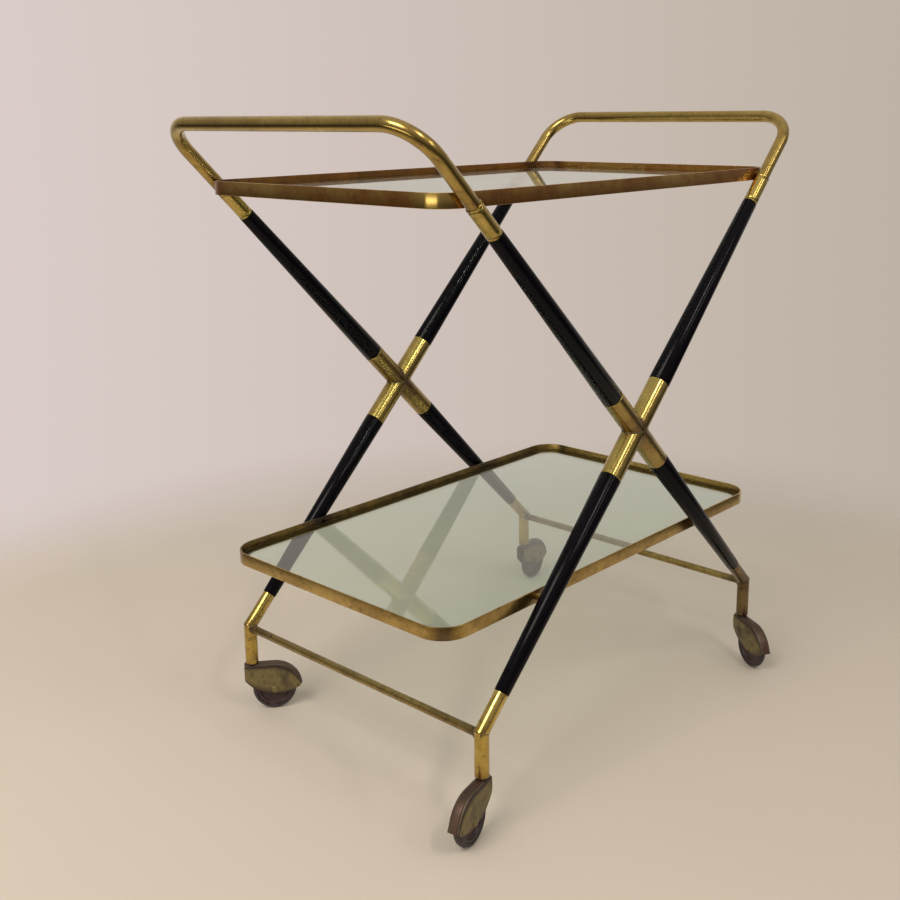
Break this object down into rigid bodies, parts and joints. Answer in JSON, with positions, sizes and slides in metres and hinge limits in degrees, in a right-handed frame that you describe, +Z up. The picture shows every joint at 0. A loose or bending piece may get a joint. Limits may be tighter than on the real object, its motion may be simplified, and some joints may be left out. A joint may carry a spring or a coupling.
{
  "type": "serving cart",
  "caption": "Brass and black lacquer serving cart with crossed legs, rounded glass trays, tube handles and hooded swivel casters",
  "frame": {"origin": "on the floor under the middle of the cart, midway between the four caster stems", "axes": "+Z up; +X along the cart from the left handle to the right handle; +Y across it from front to rear"},
  "size_m": [0.6684, 0.4339, 0.6937],
  "materials": {
    "brass": "aged brass tube, handled bright, brown in the hollows",
    "band_brass": "flat brass strip, tarnished to copper brown in patches",
    "dull_brass": "dull tarnished brass",
    "screw_brass": "worn brass screws",
    "caster_brass": "pressed brass with brown and green patina",
    "black_lacquer": "turned wood under glossy black lacquer",
    "steel": "dull steel with a brown film",
    "wheel_core": "hard moulded wheel core, dark reddish brown",
    "tyre_rubber": "old hard rubber tread",
    "glass": "clear float glass with a faint green tint"
  },
  "bodies": {
    "frame": {"left_handle": "brass", "right_handle": "brass", "handle_ferrule_left_front": "brass", "handle_ferrule_left_rear": "brass", "handle_ferrule_right_front": "brass", "handle_ferrule_right_rear": "brass", "leg_upper_left_front": "black_lacquer", "leg_upper_left_rear": "black_lacquer", "leg_upper_right_front": "black_lacquer", "leg_upper_right_rear": "black_lacquer", "leg_lower_left_front": "black_lacquer", "leg_lower_left_rear": "black_lacquer", "leg_lower_right_front": "black_lacquer", "leg_lower_right_rear": "black_lacquer", "foot_left_front": "brass", "foot_left_rear": "brass", "foot_right_front": "brass", "foot_right_rear": "brass", "cross_through_front": "brass", "cross_through_rear": "brass", "cross_stub_upper_front": "brass", "cross_stub_upper_rear": "brass", "cross_stub_lower_front": "brass", "cross_stub_lower_rear": "brass", "stretcher_left": "dull_brass", "stretcher_right": "dull_brass", "upper_tray_band": "band_brass", "upper_tray_ledge": "dull_brass", "upper_tray_spacers": "brass", "upper_tray_screws": "screw_brass", "lower_tray_band": "band_brass", "lower_tray_ledge": "dull_brass", "lower_tray_spacers": "brass", "lower_tray_screws": "screw_brass", "caster_sockets": "steel", "caster_washers": "steel"},
    "left_front_caster": {"caster_pin_left_front": "steel", "caster_hood_left_front": "caster_brass", "caster_axle_left_front": "steel"},
    "left_front_wheel": {"wheel_left_front": "wheel_core", "tyre_left_front": "tyre_rubber"},
    "left_rear_caster": {"caster_pin_left_rear": "steel", "caster_hood_left_rear": "caster_brass", "caster_axle_left_rear": "steel"},
    "left_rear_wheel": {"wheel_left_rear": "wheel_core", "tyre_left_rear": "tyre_rubber"},
    "right_front_caster": {"caster_pin_right_front": "steel", "caster_hood_right_front": "caster_brass", "caster_axle_right_front": "steel"},
    "right_front_wheel": {"wheel_right_front": "wheel_core", "tyre_right_front": "tyre_rubber"},
    "right_rear_caster": {"caster_pin_right_rear": "steel", "caster_hood_right_rear": "caster_brass", "caster_axle_right_rear": "steel"},
    "right_rear_wheel": {"wheel_right_rear": "wheel_core", "tyre_right_rear": "tyre_rubber"},
    "upper_pane": {"upper_glass": "glass"},
    "lower_pane": {"lower_glass": "glass"}
  },
  "joints": [
    {"name": "left_front_swivel", "type": "hinge", "parent": "frame", "child": "left_front_caster", "pos_m": [-0.251, -0.183, 0.0585], "axis": [0, 0, 1], "continuous": true},
    {"name": "left_front_roll", "type": "hinge", "parent": "left_front_caster", "child": "left_front_wheel", "pos_m": [-0.27536, -0.18862, 0.0255], "axis": [0.225, -0.9744, 0], "continuous": true},
    {"name": "left_rear_swivel", "type": "hinge", "parent": "frame", "child": "left_rear_caster", "pos_m": [-0.251, 0.183, 0.0585], "axis": [0, 0, 1], "continuous": true},
    {"name": "left_rear_roll", "type": "hinge", "parent": "left_rear_caster", "child": "left_rear_wheel", "pos_m": [-0.2313, 0.16761, 0.0255], "axis": [0.6157, 0.788, 0], "continuous": true},
    {"name": "right_front_swivel", "type": "hinge", "parent": "frame", "child": "right_front_caster", "pos_m": [0.251, -0.183, 0.0585], "axis": [0, 0, 1], "continuous": true},
    {"name": "right_front_roll", "type": "hinge", "parent": "right_front_caster", "child": "right_front_wheel", "pos_m": [0.23926, -0.20507, 0.0255], "axis": [0.8829, -0.4695, 0], "continuous": true},
    {"name": "right_rear_swivel", "type": "hinge", "parent": "frame", "child": "right_rear_caster", "pos_m": [0.251, 0.183, 0.0585], "axis": [0, 0, 1], "continuous": true},
    {"name": "right_rear_roll", "type": "hinge", "parent": "right_rear_caster", "child": "right_rear_wheel", "pos_m": [0.27576, 0.18648, 0.0255], "axis": [-0.1392, 0.9903, 0], "continuous": true},
    {"name": "upper_pane_lift", "type": "slide", "parent": "frame", "child": "upper_pane", "axis": [0, 0, 1], "range_m": [0, 0.08]},
    {"name": "lower_pane_lift", "type": "slide", "parent": "frame", "child": "lower_pane", "axis": [0, 0, 1], "range_m": [0, 0.08]}
  ]
}
